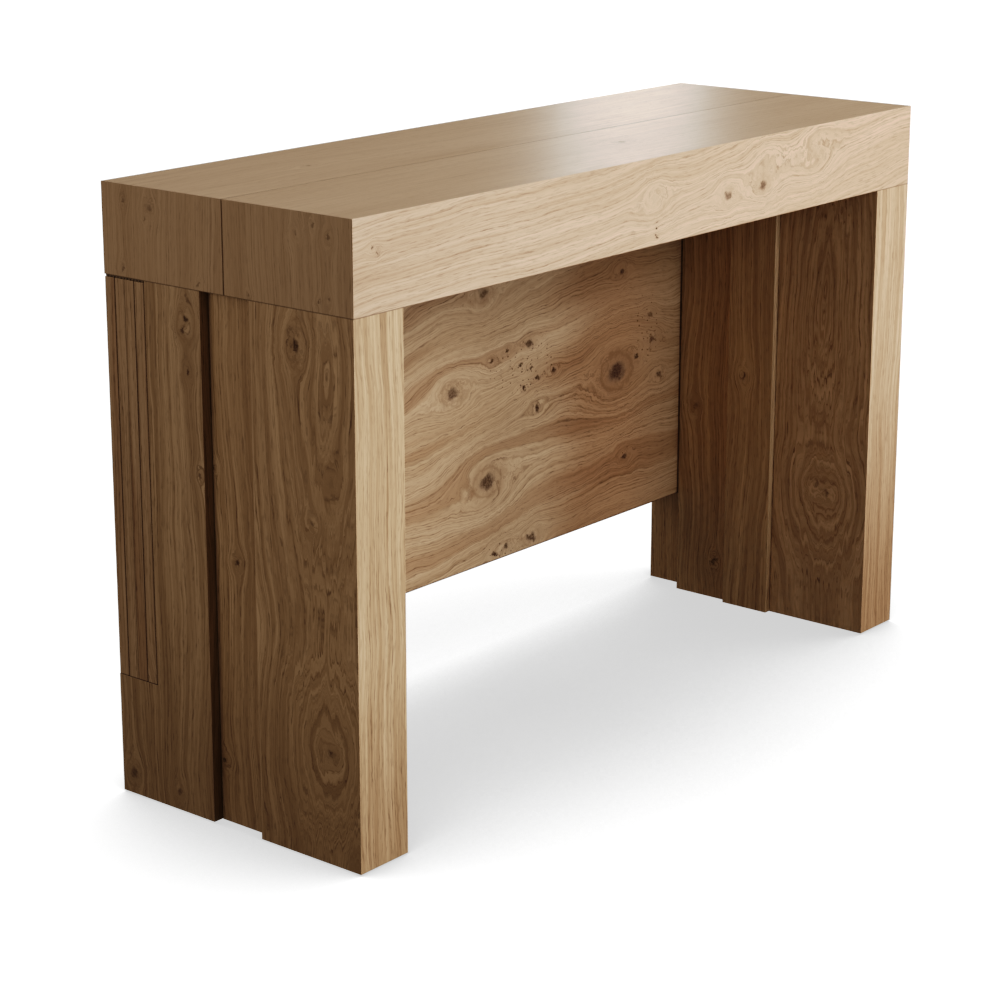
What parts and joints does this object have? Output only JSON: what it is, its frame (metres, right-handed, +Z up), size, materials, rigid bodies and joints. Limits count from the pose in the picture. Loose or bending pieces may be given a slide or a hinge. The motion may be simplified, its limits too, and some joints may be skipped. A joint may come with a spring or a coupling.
{
  "type": "extendable console table",
  "caption": "Narrow oak console table whose front half slides out on telescopic rails to a long dining table, with middle legs that follow and leaves stored on edge in the rear legs.",
  "frame": {"origin": "on the floor under the centre of the closed table", "axes": "+X along the table to the right, +Y to the back, +Z up; the front half pulls out along -Y"},
  "size_m": [1.17, 0.4, 0.77],
  "materials": {
    "oak": "matt lacquered knotty oak veneer",
    "inner_wood": "plain planed beech",
    "aluminium": "satin anodised",
    "steel": "zinc plated",
    "nylon": "matt"
  },
  "bodies": {
    "rear_half": {"rear_top_panel": "oak", "back_apron": "oak", "rear_side_apron_left": "oak", "rear_side_apron_right": "oak", "rear_leg_left": "oak", "rear_leg_right": "oak", "rear_corner_block_left": "inner_wood", "rear_corner_block_right": "inner_wood", "rear_leg_bolts": "steel", "rear_leg_glides": "nylon", "rear_rail_batten_left": "inner_wood", "rear_rail_batten_right": "inner_wood", "rear_rail_left": "aluminium", "rear_rail_right": "aluminium", "rear_rail_screws": "steel", "leaf_retainers": "steel", "retainer_screws": "steel"},
    "front_half": {"front_top_panel": "oak", "front_apron": "oak", "front_side_apron_left": "oak", "front_side_apron_right": "oak", "front_leg_left": "oak", "front_leg_right": "oak", "front_corner_block_left": "inner_wood", "front_corner_block_right": "inner_wood", "front_leg_bolts": "steel", "front_leg_glides": "nylon", "front_rail_batten_left": "inner_wood", "front_rail_batten_right": "inner_wood", "front_rail_left": "aluminium", "front_rail_right": "aluminium", "front_rail_screws": "steel"},
    "middle_portal": {"middle_rail_left": "aluminium", "middle_rail_right": "aluminium", "middle_carrier_left": "inner_wood", "middle_carrier_right": "inner_wood", "middle_beam": "inner_wood", "middle_leg_left": "oak", "middle_leg_right": "oak", "middle_leg_bolts": "steel", "middle_leg_glides": "nylon", "carrier_screws": "steel"},
    "rail_stage_1": {"rail_1_left": "aluminium", "rail_1_right": "aluminium"},
    "rail_stage_2": {"rail_2_left": "aluminium", "rail_2_right": "aluminium"},
    "rail_stage_3": {"rail_3_left": "aluminium", "rail_3_right": "aluminium"},
    "rail_stage_5": {"rail_5_left": "aluminium", "rail_5_right": "aluminium"},
    "rail_stage_6": {"rail_6_left": "aluminium", "rail_6_right": "aluminium"},
    "rail_stage_7": {"rail_7_left": "aluminium", "rail_7_right": "aluminium"},
    "leaf_1": {"leaf_1": "oak"},
    "leaf_2": {"leaf_2": "oak"},
    "leaf_3": {"leaf_3": "oak"},
    "leaf_4": {"leaf_4": "oak"}
  },
  "joints": [
    {"name": "front_half_slide", "type": "slide", "parent": "rear_half", "child": "front_half", "axis": [0, -1, 0], "range_m": [0, 2]},
    {"name": "rail_stage_1_slide", "type": "slide", "parent": "rear_half", "child": "rail_stage_1", "axis": [0, -1, 0], "range_m": [0, 0.25]},
    {"name": "rail_stage_2_slide", "type": "slide", "parent": "rear_half", "child": "rail_stage_2", "axis": [0, -1, 0], "range_m": [0, 0.5]},
    {"name": "rail_stage_3_slide", "type": "slide", "parent": "rear_half", "child": "rail_stage_3", "axis": [0, -1, 0], "range_m": [0, 0.75]},
    {"name": "middle_portal_slide", "type": "slide", "parent": "rear_half", "child": "middle_portal", "axis": [0, -1, 0], "range_m": [0, 1]},
    {"name": "rail_stage_5_slide", "type": "slide", "parent": "rear_half", "child": "rail_stage_5", "axis": [0, -1, 0], "range_m": [0, 1.25]},
    {"name": "rail_stage_6_slide", "type": "slide", "parent": "rear_half", "child": "rail_stage_6", "axis": [0, -1, 0], "range_m": [0, 1.5]},
    {"name": "rail_stage_7_slide", "type": "slide", "parent": "rear_half", "child": "rail_stage_7", "axis": [0, -1, 0], "range_m": [0, 1.75]},
    {"name": "leaf_1_slide", "type": "slide", "parent": "rear_half", "child": "leaf_1", "axis": [-1, 0, 0], "range_m": [0, 1.2]},
    {"name": "leaf_2_slide", "type": "slide", "parent": "rear_half", "child": "leaf_2", "axis": [-1, 0, 0], "range_m": [0, 1.2]},
    {"name": "leaf_3_slide", "type": "slide", "parent": "rear_half", "child": "leaf_3", "axis": [-1, 0, 0], "range_m": [0, 1.2]},
    {"name": "leaf_4_slide", "type": "slide", "parent": "rear_half", "child": "leaf_4", "axis": [-1, 0, 0], "range_m": [0, 1.2]}
  ],
  "couplings": [
    {"joint": "rail_stage_1_slide", "follows": "front_half_slide", "ratio": 0.125},
    {"joint": "rail_stage_2_slide", "follows": "front_half_slide", "ratio": 0.25},
    {"joint": "rail_stage_3_slide", "follows": "front_half_slide", "ratio": 0.375},
    {"joint": "middle_portal_slide", "follows": "front_half_slide", "ratio": 0.5},
    {"joint": "rail_stage_5_slide", "follows": "front_half_slide", "ratio": 0.625},
    {"joint": "rail_stage_6_slide", "follows": "front_half_slide", "ratio": 0.75},
    {"joint": "rail_stage_7_slide", "follows": "front_half_slide", "ratio": 0.875}
  ]
}
